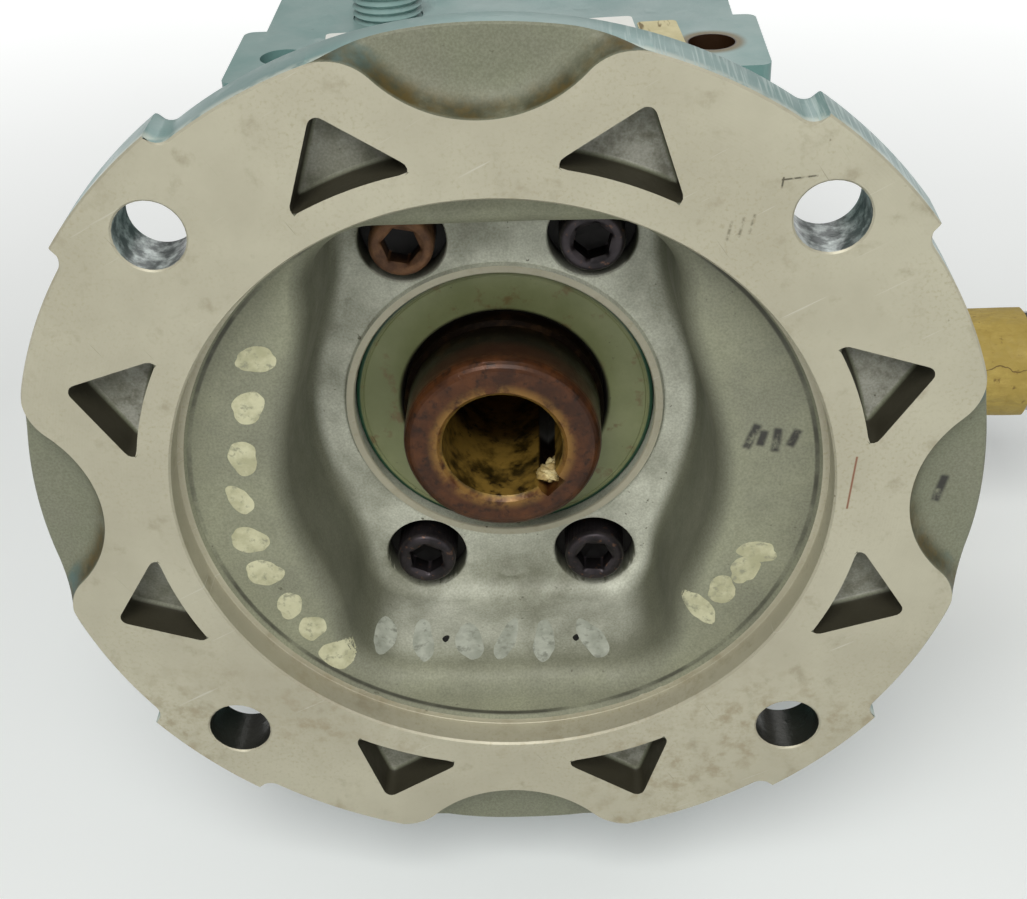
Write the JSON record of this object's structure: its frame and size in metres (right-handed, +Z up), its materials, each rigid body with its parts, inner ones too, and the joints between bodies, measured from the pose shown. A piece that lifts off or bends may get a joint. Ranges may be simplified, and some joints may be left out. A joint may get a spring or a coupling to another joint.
{
  "type": "right-angle worm gear reducer",
  "caption": "Right-angle worm gear reducer with a flanged hollow input that takes a face-mounted motor, a boxy iron housing and a solid keyed output shaft.",
  "frame": {"origin": "centre of the register bore, on the machined motor face", "axes": "+Y from the motor into the gearbox, +X along the output shaft to its free end, +Z up"},
  "size_m": [0.2272, 0.2277, 0.1882],
  "materials": {
    "teal_paint": "satin enamel over cast iron",
    "cast_flange": "machined face, cast inside, painted outside",
    "gasket": "fibre gasket",
    "black_oxide": "black oxide",
    "seal_rubber": "olive rubber",
    "spring_steel": "bright wire",
    "shim_steel": "bright",
    "bolt_steel": "zinc plated",
    "white_sticker": "matt paper label",
    "yellow_sticker": "matt paper label",
    "plate_aluminium": "satin",
    "bearing_steel": "ground",
    "rusty_steel": "light rust on the quill",
    "shaft_steel": "turned",
    "wheel_bronze": "hobbed bronze",
    "hub_iron": "as cast",
    "kraft_paper": "brown paper",
    "cage_steel": "pressed steel"
  },
  "bodies": {
    "reducer_housing": {"housing": "teal_paint", "input_flange": "cast_flange", "flange_gasket": "gasket", "flange_screws": "black_oxide", "input_seal": "seal_rubber", "input_seal_spring": "spring_steel", "output_seal": "seal_rubber", "output_seal_spring": "spring_steel", "rear_cap": "teal_paint", "rear_cap_shims": "shim_steel", "rear_cap_bolts": "bolt_steel", "side_cover": "teal_paint", "side_cover_shims": "shim_steel", "side_cover_bolts": "bolt_steel", "fill_plug": "teal_paint", "level_plug": "teal_paint", "drain_plug": "teal_paint", "white_label": "white_sticker", "yellow_label": "yellow_sticker", "nameplate": "plate_aluminium", "nameplate_pins": "plate_aluminium", "worm_front_cup": "bearing_steel", "worm_rear_cup": "bearing_steel", "output_left_cup": "bearing_steel", "output_right_cup": "bearing_steel"},
    "worm": {"worm_shaft": "rusty_steel", "worm_front_cone": "bearing_steel", "worm_rear_cone": "bearing_steel"},
    "output": {"output_shaft": "shaft_steel", "wheel_rim": "wheel_bronze", "wheel_hub": "hub_iron", "wheel_key": "shaft_steel", "wheel_spacer": "shaft_steel", "output_left_cone": "bearing_steel", "output_right_cone": "bearing_steel", "shaft_wrap": "kraft_paper"},
    "worm_front_cage_set": {"worm_front_cage": "cage_steel", "worm_front_rollers": "bearing_steel"},
    "worm_rear_cage_set": {"worm_rear_cage": "cage_steel", "worm_rear_rollers": "bearing_steel"},
    "output_left_cage_set": {"output_left_cage": "cage_steel", "output_left_rollers": "bearing_steel"},
    "output_right_cage_set": {"output_right_cage": "cage_steel", "output_right_rollers": "bearing_steel"}
  },
  "joints": [
    {"name": "worm_spin", "type": "hinge", "parent": "reducer_housing", "child": "worm", "pos_m": [0, 0.05, 0], "axis": [0, 1, 0], "continuous": true},
    {"name": "output_spin", "type": "hinge", "parent": "reducer_housing", "child": "output", "pos_m": [0, 0.13, -0.0508], "axis": [1, 0, 0], "continuous": true},
    {"name": "worm_front_cage_spin", "type": "hinge", "parent": "reducer_housing", "child": "worm_front_cage_set", "pos_m": [0, 0.056, 0], "axis": [0, 1, 0], "continuous": true},
    {"name": "worm_rear_cage_spin", "type": "hinge", "parent": "reducer_housing", "child": "worm_rear_cage_set", "pos_m": [0, 0.2, 0], "axis": [0, 1, 0], "continuous": true},
    {"name": "output_left_cage_spin", "type": "hinge", "parent": "reducer_housing", "child": "output_left_cage_set", "pos_m": [-0.034, 0.13, -0.0508], "axis": [1, 0, 0], "continuous": true},
    {"name": "output_right_cage_spin", "type": "hinge", "parent": "reducer_housing", "child": "output_right_cage_set", "pos_m": [0.034, 0.13, -0.0508], "axis": [1, 0, 0], "continuous": true}
  ],
  "couplings": [
    {"joint": "output_spin", "follows": "worm_spin", "ratio": 0.066667},
    {"joint": "worm_front_cage_spin", "follows": "worm_spin", "ratio": 0.436},
    {"joint": "worm_rear_cage_spin", "follows": "worm_spin", "ratio": 0.402},
    {"joint": "output_left_cage_spin", "follows": "worm_spin", "ratio": 0.0284},
    {"joint": "output_right_cage_spin", "follows": "worm_spin", "ratio": 0.0284}
  ]
}
